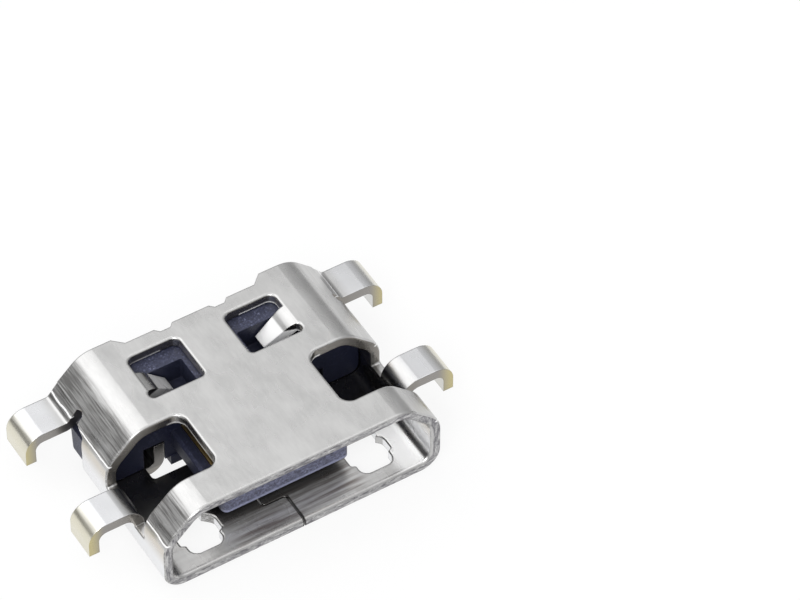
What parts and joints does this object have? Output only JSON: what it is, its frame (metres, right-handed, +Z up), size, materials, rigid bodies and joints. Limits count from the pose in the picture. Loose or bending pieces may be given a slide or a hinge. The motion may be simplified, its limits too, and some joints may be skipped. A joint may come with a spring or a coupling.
{
  "type": "charging port connector",
  "caption": "Sunk-in-board charging socket: a folded steel shell with soldering legs around a dark moulded housing with a contact tongue.",
  "frame": {"origin": "middle of the part's width and depth, on the plane of the shell floor's underside", "axes": "+X to the right across the mouth, +Y from the mouth back to the soldering tails, +Z up from the shell's floor to its top"},
  "size_m": [0.01, 0.0058, 0.0025],
  "materials": {
    "plated_steel": "satin nickel plate, rolled sheet",
    "housing_plastic": "glass-filled moulding, dark blue-black",
    "gold_plating": "thin gold plate"
  },
  "bodies": {
    "root": {"shell": "plated_steel", "insulator_housing": "housing_plastic", "contact_1": "gold_plating", "contact_2": "gold_plating", "contact_3": "gold_plating", "contact_4": "gold_plating", "contact_5": "gold_plating"}
  },
  "joints": []
}
